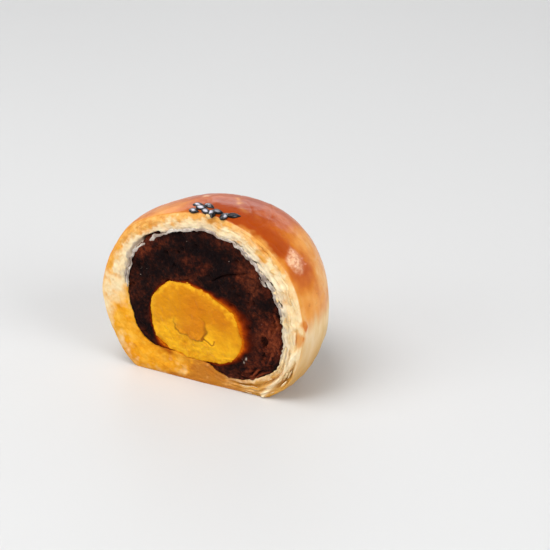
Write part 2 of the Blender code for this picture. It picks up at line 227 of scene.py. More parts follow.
# Lights: place, what it points at, size and power
MIDDLE = (0, 0, 0.02)
LIGHTS = {
    "overhead": ((-0.20, -0.22, 0.75), MIDDLE, (0.6, 0.6), 5.2),
    "front_left": ((-0.45, -0.65, 0.40), MIDDLE, (0.5, 0.5), 1.95),
    "right": ((0.62, -0.16, 0.36), MIDDLE, (0.4, 0.4), 2.7),
    "back_left": ((-0.52, 0.50, 0.36), MIDDLE, (0.28, 0.28), 0.35),
    "back": ((-0.16, 0.74, 0.26), MIDDLE, (0.6, 0.21), 0.50),
    "back_right": ((0.27, 0.40, 0.19), (0.022, -0.010, 0.035), (0.06, 0.06), 0.075),
}
FLOOR_REACH = 6.0


# Smooth outlines and surfaces

def outline_reach(points, heart, turn):
    """Distance from heart to a smooth closed outline through the points, at each angle."""
    away = (np.array(points) - heart) * MM
    angle = np.arctan2(away[:, 1], away[:, 0]) % TURN
    order = np.argsort(angle)
    angle = np.concatenate([angle[order] + lap for lap in (-TURN, 0, TURN)])
    reach = np.tile(np.hypot(away[:, 0], away[:, 1])[order], 3)
    slope = np.gradient(reach, angle)
    turn = turn % TURN
    at = np.searchsorted(angle, turn, side="right") - 1
    span = angle[at + 1] - angle[at]
    t = (turn - angle[at]) / span
    start = (1 + 2 * t) * (1 - t) ** 2 * reach[at] + t * (1 - t) ** 2 * span * slope[at]
    end = t**2 * (3 - 2 * t) * reach[at + 1] + t**2 * (t - 1) * span * slope[at + 1]
    return start + end


def dome_level(x, y, z):
    """Below 1 inside the baked cake, 1 on its skin, above 1 outside it."""
    rise = np.clip(z / HEIGHT, 0, 1) ** 2
    across = np.hypot(x - LEAN[0] * rise, y - CUT_BEFORE_AXIS - LEAN[1] * rise)
    upper = z > WIDEST_AT
    power = np.where(upper, UPPER_POWER, LOWER_POWER)
    half_height = np.where(upper, HEIGHT - WIDEST_AT, WIDEST_AT + SINK)
    return (across / HALF_WIDTH) ** power + (np.abs(z - WIDEST_AT) / half_height) ** power


def dome_reach(right, back, up):
    """Distance from the heart of the cut to the skin, along unit directions."""
    inside = np.zeros_like(up)
    outside = np.full_like(up, 3 * HALF_WIDTH)
    for _ in range(BISECTIONS):
        middle = (inside + outside) / 2
        x = HEART[0] * MM + right * middle
        z = HEART[1] * MM + up * middle
        is_inside = dome_level(x, back * middle, z) < 1
        inside = np.where(is_inside, middle, inside)
        outside = np.where(is_inside, outside, middle)
    return outside


def board_reach(up):
    """Distance from the heart down to the board, along unit directions."""
    return HEART[1] * MM / np.maximum(-up, NEARLY_LEVEL)


def skin_points(turn, swing, lift=0.0):
    """Points of the skin. A swing of 0 is straight back, a quarter turn is on the cut."""
    right = np.cos(turn) * np.sin(swing)
    up = np.sin(turn) * np.sin(swing)
    back = np.cos(swing)
    on_cut = dome_reach(np.cos(turn), np.zeros_like(turn), np.sin(turn))
    drawn = outline_reach(SKIN, HEART, turn) / on_cut
    reach = dome_reach(right, back, up) * (1 + (drawn - 1) * np.sin(swing) ** CUT_CLING) + lift
    reach = np.minimum(reach, board_reach(up))
    height = np.maximum(HEART[1] * MM + up * reach, 0)
    return np.stack([HEART[0] * MM + right * reach, back * reach, height], axis=-1)


def crown_point(x, y):
    """The point of the skin above a place near the top of the cake."""
    aim = np.array([x, y, HEIGHT])
    for _ in range(CROWN_STEPS):
        away = aim - (HEART[0] * MM, 0, HEART[1] * MM)
        turn = np.arctan2(away[2], away[0])
        swing = np.arccos(away[1] / np.linalg.norm(away))
        aim[2] = skin_points(np.array([turn]), np.array([swing]))[0, 2]
    return aim


def face_ring(reach, turn, heart=HEART, depth=0):
    """A ring of points round a heart, at one depth behind the cut."""
    x = heart[0] * MM + reach * np.cos(turn)
    z = heart[1] * MM + reach * np.sin(turn)
    return np.stack([x, np.zeros_like(turn) + depth, z], axis=-1)


def back_rings(reach, turn, heart, middle, half_depth, count):
    """Rings of a rounded body from near its back to its outline on the cut, and its back point."""
    last = -math.asin(middle / half_depth)
    rings = []
    for step in range(1, count + 1):
        swing = QUARTER + (last - QUARTER) * step / count
        share = math.cos(swing) / math.cos(last)
        rings.append(face_ring(reach * share, turn, heart, middle + half_depth * math.sin(swing)))
    return np.array([heart[0] * MM, middle + half_depth, heart[1] * MM]), rings


# Random detail that repeats each run

NOISE_CELLS = 32
NOISE_SHIFT = 11.3  # moves the noise's grid off the middle of the cake
NOISE_SPREAD = 1.6
GRAIN_CELLS = 64
GRAIN_SHIFT = 20


def noise(points, size, seed):
    """Smooth values of about -1 to 1 that change over about one size, in millimetres."""
    table = np.random.default_rng(seed).uniform(-1, 1, (NOISE_CELLS,) * 3)
    place = np.asarray(points) / (size * MM) + NOISE_SHIFT
    cell = np.floor(place).astype(int)
    part = place - cell
    part = part * part * (3 - 2 * part)
    total = np.zeros(part.shape[:-1])
    for corner in itertools.product((0, 1), repeat=3):
        weight = np.prod(np.where(corner, part, 1 - part), axis=-1)
        index = (cell + corner) % NOISE_CELLS
        total += weight * table[index[..., 0], index[..., 1], index[..., 2]]
    return total * NOISE_SPREAD


def rough(points, size, seed, octaves=4, keep=0.5):
    """Noise with finer noise added on top of it."""
    total, weight = 0, 1.0
    for step in range(octaves):
        total = total + weight * noise(points, size / 2**step, seed + step)
        weight *= keep
    return total


def grains(points, size, seed):
    """Distance to the nearest of scattered centres, in units of size, and that centre's number."""
    table = np.random.default_rng(seed).random((GRAIN_CELLS, GRAIN_CELLS, 3))
    place = points[..., [0, 2]] / (size * MM) + GRAIN_SHIFT
    home = np.floor(place).astype(int)
    nearest = np.full(place.shape[:-1], 9.0)
    number = np.zeros(place.shape[:-1])
    for step in itertools.product((-1, 0, 1), repeat=2):
        cell = home + step
        drawn = table[cell[..., 0] % GRAIN_CELLS, cell[..., 1] % GRAIN_CELLS]
        away = np.hypot(*np.moveaxis(place - cell - drawn[..., :2], -1, 0))
        closer = away < nearest
        nearest = np.where(closer, away, nearest)
        number = np.where(closer, drawn[..., 2], number)
    return nearest, number


def ease(value, low, high):
    """0 up to low, 1 from high on, and smooth between."""
    t = np.clip((value - low) / (high - low), 0, 1)
    return t * t * (3 - 2 * t)


def near(value, middle, width):
    """1 at the middle, falling smoothly to 0 over a width or two."""
    return np.exp(-(((value - middle) / width) ** 2))


def angle_from(turn, middle):
    """Signed angle from a middle direction, in degrees."""
    return (np.degrees(turn) - middle + 180) % 360 - 180


def sector(turn, middle, width):
    """1 in a middle direction, in degrees, falling smoothly to 0 on both sides."""
    return near(angle_from(turn, middle), 0, width)


def in_mm(points):
    """Places in millimetres across, behind the cut and up."""
    return np.moveaxis(points / MM, -1, 0)


def above(points, low, high):
    """0 below a low height and 1 above a high one, in millimetres."""
    return ease(points[..., 2] / MM, low, high)


def away_from(points, place, reach=1):
    """Distance from a place, in millimetres or in shares of its reach along each axis."""
    return np.linalg.norm((points / MM - place) / reach, axis=-1)


def polar(points, heart):
    """Angle round a heart on the cut, and distance from it in millimetres."""
    x, z = points[..., 0] / MM - heart[0], points[..., 2] / MM - heart[1]
    return np.arctan2(z, x), np.hypot(x, z)


def segment_distance(points, start, end):
    """Distance on the cut from a straight stretch, in millimetres."""
    place = points[..., [0, 2]] / MM
    start, run = np.array(start), np.subtract(end, start)
    t = np.clip(((place - start) @ run) / (run @ run), 0, 1)
    return np.hypot(*np.moveaxis(place - start - t[..., None] * run, -1, 0))


def uneven_shift(points, amount, size, seed):
    """A shift on the cut, up to about an amount in millimetres, that makes a line wander."""
    return amount * MM * noise(points, size, seed)[..., None] * (1, 0, 1)


def path_distance(points, path):
    """Distance on the cut from a bent line, in millimetres."""
    return np.min([segment_distance(points, a, b) for a, b in zip(path, path[1:])], axis=0)


def around(turn, across, stretch):
    """Places for noise that is drawn out along the outline."""
    radius = 20 * MM / stretch
    return np.stack([np.cos(turn) * radius, np.sin(turn) * radius, across + 0 * turn], axis=-1)


# Mesh making

def ring_faces(count, sides):
    """Faces of a closed body from rings of points, whose two end points follow those of the rings."""
    row = np.arange(count - 1)[:, None] * sides
    j = np.arange(sides)
    k = (j + 1) % sides
    quads = np.stack([row + j, row + k, row + sides + k, row + sides + j], axis=-1)
    tip, end, base = count * sides, count * sides + 1, (count - 1) * sides
    fans = [(tip, b, a) for a, b in zip(j, k)] + [(base + a, base + b, end) for a, b in zip(j, k)]
    return quads.reshape(-1, 4).tolist() + fans


def ring_piece(name, material, rings, first, last, values):
    """One closed piece from rings of points with a point at each end. values are per point."""
    rings = np.asarray(rings)
    count, sides, _ = rings.shape
    points = np.concatenate([rings.reshape(-1, 3), [first, last]])
    piece = smooth_piece(name, material, points, ring_faces(count, sides))
    for label, value in values.items():
        ends = [value[0].mean(), value[-1].mean()]
        set_values(piece, label, np.concatenate([value.reshape(-1), ends]))
    return piece


def set_values(piece, label, values):
    """Keep one number for each point, for the material to read."""
    layer = piece.data.attributes.new(label, "FLOAT", "POINT")
    layer.data.foreach_set("value", values.astype(np.float32))


def smooth_piece(name, material, points, faces):
    """One smooth piece, moved from the cut's own axes to those of the frame."""
    mesh = bpy.data.meshes.new(name)
    mesh.from_pydata(points + (CUT_MIDDLE_X, CUT_FACE_Y, 0), [], faces)
    mesh.shade_smooth()
    return add_piece(name, mesh, material)


def add_piece(name, mesh, material):
    """Put a mesh with its material into the scene."""
    mesh.materials.append(material)
    piece = bpy.data.objects.new(name, mesh)
    bpy.context.scene.collection.objects.link(piece)
    return piece


# Pastry

def hollow_reach(turn):
    """The ragged edge where the pastry meets the paste."""
    reach = outline_reach(HOLLOW, HEART, turn)
    edge = face_ring(reach, turn)
    wander = rough(edge, 4.0, 5, 4, 0.75) * ease(np.abs(angle_from(turn, -105)), 20, 45)
    return reach + RAGGED * wander - UNDER_YOLK * sector(turn, -98, 22)


def layer_relief(turn, share):
    """How far the torn pastry stands out of the cut, from the paste (0) to the skin (1)."""
    place = around(turn, share * 7 * MM, 3)
    wander = sum(part * np.sin(waves * turn + start) for waves, start, part in LAYER_WAVES)
    wander = wander + LAYER_DRIFT * noise(place, 2.4, 19)
    strength = LAYERS_EVERYWHERE + 0 * turn
    for middle, width, extra in (LAYERS_LOW_RIGHT, LAYERS_RIGHT):
        strength = strength + extra * sector(turn, middle, width)
    broken = 0.65 + 0.5 * noise(place, 1.3, 20)
    relief = LAYER_DEPTH * strength * broken * np.sin(TURN * (LAYERS * share + wander))
    relief = relief * ease(1 - share, 0, 0.10) - edge_rounding(turn) * share**ROUNDING_CLING
    return relief - fold_depth(turn, share) * ease(1 - share, 0, 0.10)


def skin_edge(turn):
    """Distance from the heart to the skin or the board, along the cut."""
    return np.minimum(outline_reach(SKIN, HEART, turn), board_reach(np.sin(turn)))


def edge_rounding(turn):
    """How far the skin's edge is rounded back from the cut, least along the base."""
    return SKIN_ROUNDING * (1 - 0.7 * sector(turn, -90, 45))


def fold_depth(turn, share):
    """How deep the folds between the layers are pressed in."""
    signed = (turn + math.pi) % TURN - math.pi
    depth = np.zeros_like(signed + share)
    for start, end, low, high, most in FOLDS:
        along = (signed - start) / (end - start)
        place = low + (high - low) * along
        fade = np.sqrt(np.clip(np.sin(np.pi * np.clip(along, 0, 1)), 0, 1))
        depth = depth + most * fade * near(share, place, FOLD_WIDTH)
    return depth


def ribbon_cover(points):
    """The cream fold of pastry that stands out at the lower right."""
    bent = points + uneven_shift(points, 0.35, 2.2, 36)
    return near(path_distance(bent, RIBBON), 0, 0.65) * (1 - above(points, 13.0, 15.0))


def recess_cover(points):
    """The golden hollow between that fold and the skin."""
    return near(segment_distance(points, *RECESS), 0, 1.5) * (1 - ribbon_cover(points))


def flake_relief(turn, share, width, points):
    """Crumb everywhere, and thin torn layers that follow the outline, mostly on the right."""
    drift = 0.5 * MM * noise(points, 5, 21)
    coords = around(turn, share * width + drift, 7)
    feathery = 0.12 + sector(turn, 12, 36) + 0.5 * sector(turn, -40, 30)
    feathery = np.clip(feathery + 0.6 * sector(turn, 52, 24) * ease(share, 0.4, 0.8), 0, 1.3)
    fine = 1 - 2 * np.abs(noise(coords, FLAKE_SPACING, 22))
    broad = 1 - 2 * np.abs(noise(coords + 3 * MM, 2 * FLAKE_SPACING, 23))
    torn = ease(noise(coords * (0.6, 1, 1), 1.5, 24), -0.1, 0.15)
    crumb = rough(points, 1.3, 25, 4, 0.65)
    layers = feathery * (FLAKE_DEPTH * (0.9 * fine + 0.9 * broad) + TEAR_DEPTH * (torn - 0.5))
    return layers + CRUMB_DEPTH * crumb


def gap_cover(turn, share, width):
    """Small gaps between the shreds where the pastry meets the paste, pressed in and coloured dark as
    painted shade.
    """
    coords = around(turn, share * width, 2.2)
    open_here = ease(noise(coords, 0.42, 27), 0.15, 0.5)
    inner = near(share * width / MM, 0.7, 0.6)
    upper = np.clip(sector(turn, 30, 36) + 0.3 * sector(turn, 165, 18), 0, 1)
    return open_here * inner * upper


def pocket_cover(points):
    """The hollow under a loose skin of pastry at the upper left, pressed in and coloured dark as painted
    shade.
    """
    return 1 - ease(segment_distance(points, *POCKET), 0.5, 0.9)


def wash_cover(points):
    """1 under the egg wash, 0 below its uneven lower edge."""
    side = np.arctan2(points[..., 1] - CUT_BEFORE_AXIS, points[..., 0])
    border = 15.0 + 4.5 * np.cos(side + 0.1) + 1.6 * np.sin(3 * side + 0.6) + 13 * sector(side, -170, 26)
    flat = points * (1, 1, 0.3)
    border = border - 2.0 * np.clip(noise(flat, 4.5, 31), 0, 1) + 0.9 * rough(flat, 2.2, 32, 2)
    return np.maximum(above(points, border - 2.2, border + 2.8), drip_cover(points))


def drip_cover(points):
    """Two drips of egg wash that ran down beside the cut on the right."""
    away = [away_from(points, drip, DRIP_REACH) for drip in DRIPS]
    ragged = np.min(away, axis=0) + 0.25 * noise(points, 1.2, 33)
    return 1 - ease(ragged, 0.7, 1.3)


def vein_cover(points):
    """A light crease in the glaze that starts at the crown and runs above the burnt strip."""
    flat = np.stack([points[..., 0], 0 * points[..., 0], points[..., 1]], axis=-1)
    flat = flat + uneven_shift(points, 0.4, 2, 49)
    fade = 1 - ease(points[..., 0] / MM, 8, 15)
    broken = 0.6 + 0.5 * noise(points, 1.5, 50)
    return near(path_distance(flat, VEIN), 0, 0.65) * above(points, 30, 36) * fade * broken


def burnt_patch(points):
    """The dark orange strip of glaze beside the cut, right of the seeds."""
    x, y, _ = in_mm(points)
    edge = 7.0 + 0.5 * noise(points, 3, 42) - 4.0 * ease(x, 20.5, 23.5)
    along = ease(x, 3.0, 6.5) * (1 - ease(x + 0.25 * (6 - y), 21.8, 23.4))
    return (1 - ease(y, edge - 3.2, edge + 0.6)) * along * above(points, 30, 34)


def brownness(points):
    """How dark the glaze has baked: most at the crown and beside the cut, least low down; lighter on the
    right rim, partly as painted sheen.
    """
    x, y, z = in_mm(points)
    high = ease(z, 22, 45)
    right_low = near(x, 26, 5) * near(z, 30, 5) * near(y, 8, 3.5)
    # Painted sheen lightens the glaze toward the back of the right rim; beside the cut the paler glaze
    # is its own tone
    pale_rim_and_sheen = near(x, 26, 5) * near(z, 27, 8) * (ease(y, 9, 14) + 0.5 * (1 - ease(y, 1, 4)))
    behind_seeds = near(x, 6, 5) * near(y, 6, 4.5) * ease(z, 38, 42)
    left = near(-x, 10.5, 6) * near(y, 3, 7) * ease(z, 30, 36)
    behind_patch = near(x, 20.5, 3.5) * near(z, 37, 3.5) * ease(y, 5.5, 9)
    mottle = 0.10 * rough(points, 9, 41) + 0.05 * rough(points, 2.5, 45)
    drip = drip_cover(points)
    base = 0.37 + 0.41 * high + 0.13 * right_low + 0.37 * behind_seeds - 0.40 * left + mottle
    base = base + 0.10 * drip - 0.22 * pale_rim_and_sheen * (1 - drip) - 0.24 * behind_patch
    return base + (0.90 + 0.10 * near(x, 7, 4) - base) * burnt_patch(points)


def crinkle_cover(points):
    """A patch of wrinkled glaze just below the burnt strip, coloured pale there as a painted highlight,
    and a chip behind the seeds.
    """
    wrinkle_glint = away_from(points, CRINKLE, CRINKLE_REACH) + 0.20 * rough(points, 2, 47, 2)
    chipped = away_from(points, CHIPPED) + 0.3 * rough(points, 1.2, 37, 2)
    return 1 - ease(wrinkle_glint, 0.4, 1.15) + 0.8 * (1 - ease(chipped, 0.5, 1.6))


def lip_cover(turn, points):
    """The lip of the skin beside the cut: pale and wide on the right, toasted at the upper left."""
    y = points[..., 1] / MM
    right = sector(turn, 4, 30)
    upper = sector(turn, 56, 24)
    toasted = sector(turn, 136, 26)
    wander = rough(points, 2.5, 48, 3)
    reach = 0.6 + 1.5 * right + 0.9 * upper + 3.0 * toasted + (0.4 + toasted + 0.9 * upper) * wander
    edge = 1 - ease(y, 0.0, np.maximum(reach, 0.2) + 0.4)
    strength = np.clip(0.2 + 0.7 * right + 0.6 * upper + 0.8 * toasted, 0, 1)
    return edge * strength * (1 - 0.9 * drip_cover(points))


def skin_lift(skin, wash):
    """How far the egg wash, the wrinkles and the maker's hands raise each point of the skin."""
    hand = HAND_DEPTH * rough(skin, 13, 51, 2) * ease(skin[..., 1], 0, 3 * MM)
    rough_wash = WASH_ROUGHNESS * rough(skin, 2.4, 53, 3) * wash
    wrinkles = WRINKLE_DEPTH * crinkle_cover(skin) * (1 - 2 * np.abs(noise(skin, 1.0, 58)))
    creases = -CREASE_DEPTH * ease(0.07 - np.abs(noise(skin, 8, 56)), 0, 0.07) * wash
    dough = DOUGH_DEPTH * rough(skin * (1, 1, 0.35), 1.8, 57, 3) * (1 - wash)
    return hand + rough_wash + wrinkles + creases + dough + WASH_THICKNESS * wash


def skin_rings(turn, edge):
    """Rings of the skin from the back of the cake to the cut."""
    last = np.arccos(edge_rounding(turn) / edge)
    swings = [last * (1 - (1 - k / SKIN_RINGS) ** SKIN_SPACING) for k in range(1, SKIN_RINGS)]
    skin = np.array([skin_points(turn, swing) for swing in swings])
    lift = skin_lift(skin, wash_cover(skin))
    return np.array([skin_points(turn, swing, row) for swing, row in zip(swings, lift)])


def torn_rings(turn, hollow, width, shares):
    """Rings of the torn pastry on the cut, from the skin to the paste."""
    rings = []
    for share in shares:
        ring = face_ring(hollow + width * share, turn)
        fine = flake_relief(turn, share, width, ring) * ease(1 - share, 0, 0.12)
        holes = GAP_DEPTH * gap_cover(turn, share, width) + POCKET_DEPTH * pocket_cover(ring)
        raised = RIBBON_HEIGHT * (ribbon_cover(ring) - recess_cover(ring)) * ease(1 - share, 0, 0.08)
        ring[:, 1] = holes - layer_relief(turn, share) - fine - raised
        ring[:, 2] = np.maximum(ring[:, 2], 0)
        rings.append(ring)
    return np.array(rings)


def make_pastry():
    """The skin, the torn layers on the cut, and the hollow that the paste fills."""
    turn = np.arange(ROUND_STEPS) * TURN / ROUND_STEPS
    edge = skin_edge(turn)
    hollow = hollow_reach(turn)
    width = edge - hollow
    shares = 1 - np.arange(LAYER_RINGS + 1) / LAYER_RINGS
    skin = skin_rings(turn, edge)
    layers = torn_rings(turn, hollow, width, shares)
    back, inner = back_rings(hollow, turn, HEART, CUT_BEFORE_AXIS, HOLLOW_DEPTH, HOLLOW_RINGS)
    inner = np.array(inner[-2::-1])

    rings = np.concatenate([skin, layers, inner])
    angles = np.tile(turn, (len(rings), 1))
    cut = 0 * angles
    cut[len(skin):] = 1
    share = np.concatenate([np.ones(len(skin)), shares, np.zeros(len(inner))])[:, None] + 0 * angles
    values = {
        "cut": cut,
        "wash": wash_cover(rings),
        "brown": brownness(rings),
        # the wrinkles, and where the painted highlight goes
        "crinkle_and_glint": crinkle_cover(rings) * (1 - cut),
        "vein": vein_cover(rings) * (1 - cut),
        "foot": 1 - ease(rings[..., 2] / MM + 1.5 * noise(rings, 4, 34), 5.0, 19.0),
        "lip": lip_cover(angles, rings) * (1 - cut),
        **cut_stains(angles, share, rings, width),
    }
    first = skin_points(np.zeros(1), np.zeros(1))[0]
    return ring_piece("pastry", pastry_material(), rings, first, back, values)


def cut_stains(turn, share, points, width):
    """Where the cut pastry is yellow with oil, baked tan, brown at the skin, or greyish by the paste,
    with painted shade in its gaps and hollow.
    """
    uneven = rough(points, 3, 61)
    small = rough(points, 1.4, 62)
    ribbon, recess = ribbon_cover(points), recess_cover(points)

    oil = 1.15 * sector(turn, -134, 36) * (1 - 0.45 * ease(share + 0.2 * small, 0.5, 0.95))
    oil = oil + 0.9 * sector(turn, -88, 30) + 0.675 * sector(turn, 194, 20) * (1 - share) ** 0.8
    oil = oil + 0.8 * sector(turn, 160, 26) * ease(share + 0.3 * uneven, 0.35, 0.85) + 0.4 * uneven

    baked = ease(share, 0.72, 0.95) * sector(turn, -80, 50)
    tan = sector(turn, -75, 32) * (1.25 + 0.4 * small) + 0.15 * uneven + 0.9 * baked

    start = 0.66 - 0.34 * sector(turn, 128, 28) - 0.32 * sector(turn, 54, 28)
    flakes = ease(noise(around(turn, share * 5 * MM, 3), 0.7, 66), -0.1, 0.3)
    toast = ease(share + 0.14 * uneven + 0.17 * small, start, start + 0.34)
    toast = toast * ease(np.sin(turn - 0.1), 0.1, 0.5) * (1 - 0.35 * flakes * sector(turn, 46, 30))

    spots = ease(small, 0.15, 0.5) * sector(turn, 52, 24) * ease(share, 0.25, 0.5)
    lines = ease(noise(around(turn, share * 5 * MM, 7), 0.8, 65), 0.15, 0.7)
    lines = lines * ease(share, 0.3, 0.6) * sector(turn, -30, 40)
    golden = sector(turn, -42, 18) * ease(share + 0.15 * small, 0.05, 0.35)
    streak = np.clip(0.6 * lines + 0.8 * spots + 0.9 * fold_depth(turn, share) / MM, 0, 1)
    streak = (streak + 0.9 * golden) * (1 - ribbon) + recess

    start = np.where(points[..., 0] < 0, 22.0, 8.0)
    upper = above(points, start, start + 5)
    right = ease(np.cos(turn), -0.1, 0.6)
    white = (1 - ease(share + 0.10 * small, 0.15, 0.65)) * upper * (0.55 + 0.45 * right)
    reach = 0.20 + 0.14 * sector(turn, 160, 24)
    grey = (1 - ease(share + 0.08 * small, reach - 0.18, reach)) * upper * (1 - 0.4 * right)
    return {
        "oil": np.clip(oil, 0, 1),
        "tan": np.clip(tan * (1 - 0.9 * ribbon), 0, 1),
        "toast": toast,
        "streak": np.clip(streak, 0, 1),
        "white": np.clip(white + 0.6 * ribbon, 0, 1),
        "grey": grey,
        # painted shade in the gaps and in the hollow under the loose skin
        "dark": np.clip(gap_cover(turn, share, width) + pocket_cover(points), 0, 1),
        "stain": near(segment_distance(points, *STAIN), 0, 0.8),
        "drip": drip_cover(points),
    }


# Paste

def make_paste():
    """The paste from its back to the cut, and round the room that the yolk fills."""
    turn = np.arange(PASTE_STEPS) * TURN / PASTE_STEPS
    outer = hollow_reach(turn) + PASTE_LAP
    yolk = outline_reach(YOLK, YOLK_HEART, turn) - PASTE_UNDER_YOLK
    outer_ring = face_ring(outer, turn, HEART, PASTE_SET_BACK)
    yolk_ring = face_ring(yolk, turn, YOLK_HEART, PASTE_SET_BACK)
    back, behind = back_rings(outer, turn, HEART, CUT_BEFORE_AXIS, HOLLOW_DEPTH, PASTE_BACK_RINGS)
    room_back, room = back_rings(yolk, turn, YOLK_HEART, YOLK_MIDDLE, YOLK_DEPTH, ROOM_RINGS)
    share = 1 - np.arange(PASTE_RINGS + 1)[:, None] / PASTE_RINGS + 0 * turn
    face = yolk_ring + (outer_ring - yolk_ring) * share[..., None]
    thickness = np.linalg.norm(outer_ring - yolk_ring, axis=1)
    thin = 1 - ease(thickness, *THIN_PASTE)
    relief = paste_relief(face, share, thickness)
    face[..., 1] = PASTE_SET_BACK - relief * (1 - thin) + THIN_SET_BACK * thin

    rings = np.concatenate([np.array(behind[:-1]), face, np.array(room[-2::-1])])
    rows = slice(len(behind) - 1, len(behind) - 1 + len(face))
    halo, ridge = np.zeros(rings.shape[:2]), np.zeros(rings.shape[:2])
    halo[rows] = oil_halo(face, share, thickness)
    ridge[rows] = paste_ridges(face, share, thickness)
    x, _, z = in_mm(rings)
    red_and_hole_shade = ease(x + 0.25 * (19 - z), 15, 20.5) + 0.6 * ease(-x, 8, 14) * ease(z, 26, 31)
    # The two holes are left out of the red tone, which paints them darker as shade
    red_and_hole_shade = red_and_hole_shade + 0.45 * rough(rings, 4, 83) - 1.5 * paste_holes(rings)
    speck = np.min([np.hypot(x - at, 0.55 * (z - up)) for at, up in SPECKS], axis=0)
    values = {
        "halo": halo, "ridge": ridge, "red_and_hole_shade": np.clip(red_and_hole_shade, 0, 1), "speck": near(speck, 0, 0.17),
        "dark_band_and_seam_shade": dark_band_and_seam_shade_cover(rings),
    }
    return ring_piece("sesame_paste", paste_material(), rings, back, room_back, values)


def paste_relief(points, share, thickness):
    """Grains, lumps, a crack and a few holes left by the knife in the dense paste."""
    x, _, z = in_mm(points)
    away, number = grains(points, GRAIN, 71)
    grain = GRAIN_HEIGHT * (0.55 - away) * (0.5 + number)
    small, _ = grains(points, GRAIN / 2, 72)
    relief = grain + 0.3 * GRAIN_HEIGHT * (0.5 - small) + LUMP_HEIGHT * rough(points, 3.5, 73)
    pit, chance = grains(points, 2.3, 75)
    relief = relief - PIT_DEPTH * near(pit, 0, 0.28) * (chance > 0.72)
    bent = points + uneven_shift(points, 0.5, 2, 76)
    for start, end in zip(CRACK, CRACK[1:]):
        relief = relief - CRACK_DEPTH * near(segment_distance(bent, start, end), 0, 0.22)
    relief = relief - HOLE_DEPTH * paste_holes(points)
    relief = relief + RIDGE_HEIGHT * paste_ridges(points, share, thickness)
    from_edge = (1 - share) * thickness / MM
    parted = near(x, 21.5, 2.2) * near(z, 20.5, 5) * near(from_edge, 0.35, 0.4)
    return relief - SEAM_DEPTH * near(from_edge, 0, 0.35) - PARTED_DEPTH * parted


def paste_holes(points):
    """Two deep holes, one above the other, low on the right."""
    x, _, z = in_mm(points)
    ragged = 0.45 * rough(points, 1.3, 84, 3)
    return sum(
        part * ease(ragged - np.hypot((x - at) / wide, (z - up) / high), -1.1, -0.5)
        for (at, up), (wide, high), part in HOLES
    )


def paste_ridges(points, share, thickness):
    """Rough ridges that follow the edge of the paste on the right and underneath."""
    from_edge = (1 - share) * thickness / MM
    x, _, z = in_mm(points)
    right = np.clip(ease(x, 11, 15) + ease(x, 7, 11) * ease(-z, -14, -9), 0, 1)
    waves = np.sin(from_edge * 3.6 + 3.0 * noise(points, 3, 78))
    broken = ease(noise(points, 2.2, 79), -0.45, 0.25) * (1 - ease(z, 22, 27))
    return waves * broken * right * near(from_edge, 1.8, 2.4)


def dark_band_and_seam_shade_cover(points):
    """Nearly black paste over the yolk, and painted shade along the seam on the right."""
    turn, away = polar(points, YOLK_HEART)
    from_yolk = away - outline_reach(YOLK, YOLK_HEART, turn) / MM
    ragged = from_yolk + 1.3 * rough(points, 3, 85, 3)
    over = ease(ragged, 0.6, 2.0) * (1 - ease(ragged, 4.5, 7.0)) * sector(turn, 78, 48)
    turn, away = polar(points, HEART)
    # Painted shade along the seam where the paste stands back from the pastry on the right
    shadow_line = near(hollow_reach(turn) / MM - away, 0.2, 0.55) * sector(turn, 2, 26)
    return np.clip(over + 1.2 * shadow_line, 0, 1)


def oil_halo(points, share, thickness):
    """Orange oil that has soaked from the yolk into the paste, most on the right."""
    from_yolk = share * thickness / MM
    angle, _ = polar(points, YOLK_HEART)
    right = near(angle_from(angle, 8), 0, 38)
    over = 0.5 * near(angle_from(angle, 70), 0, 45)
    left_tip = 0.9 * near(angle_from(angle, 218), 0, 9)
    reach = 0.45 + 1.9 * right + 0.4 * over + 1.6 * left_tip
    strength = np.clip(0.50 + right + over + left_tip, 0, 1)
    ragged = 1 + 0.25 * noise(points, 1.5, 81)
    return strength * np.exp(-((from_yolk / (reach * ragged)) ** 1.6))


# Yolk

def make_yolk():
    """The yolk from its back to the cut, with its darker core."""
    turn = np.arange(YOLK_STEPS) * TURN / YOLK_STEPS
    reach = outline_reach(YOLK, YOLK_HEART, turn)
    edge = face_ring(reach, turn, YOLK_HEART)
    reach = reach + 0.12 * MM * rough(edge, 1.6, 91, 3)
    back, behind = back_rings(reach, turn, YOLK_HEART, YOLK_MIDDLE, YOLK_DEPTH, YOLK_BACK_RINGS)
    shares = 1 - np.arange(YOLK_RINGS) / YOLK_RINGS
    face = np.array([face_ring(reach * share, turn, YOLK_HEART) for share in shares])
    share = np.repeat(shares[:, None], YOLK_STEPS, axis=1)
    core, shadow_line = core_cover(face)
    face[..., 1] = -yolk_relief(face, share, core)
    rings = np.concatenate([np.array(behind[:-1]), face])
    rest = np.zeros((len(behind) - 1, YOLK_STEPS))
    deep, bright = yolk_tones(face, share)
    values = {
        name: np.concatenate([rest, value])
        for name, value in (("core", core), ("shadow_line", shadow_line), ("deep", deep), ("bright", bright))
    }
    front = face_ring(np.zeros(1), np.zeros(1), YOLK_HEART, face[-1, :, 1].mean())[0]
    return ring_piece("egg_yolk", yolk_material(), rings, back, front, values)


def core_cover(points):
    """1 on the darker middle of the yolk, with a ragged edge, and a painted shadow line round part of it
    and along the curl.
    """
    angle, away = polar(points, CORE_HEART)
    outside = away - outline_reach(CORE, CORE_HEART, angle) / MM + 0.20 * rough(points, 1.2, 93, 3)
    low_right = np.clip(sector(angle, -40, 75) + 0.8 * sector(angle, 205, 34), 0, 1)
    curl = near(path_distance(points, CURL), 0, 0.18)
    # Painted shadow line along the lower right edge of the raised core and in the groove of the curl
    shadow_line = np.clip(near(outside, 0.1, 0.25) * low_right + 0.9 * curl, 0, 1)
    upper_left = sector(angle, 135, 60)
    return (1 - ease(outside, -0.15 - 1.5 * upper_left, 0.2)) * (1 - 0.45 * upper_left), shadow_line


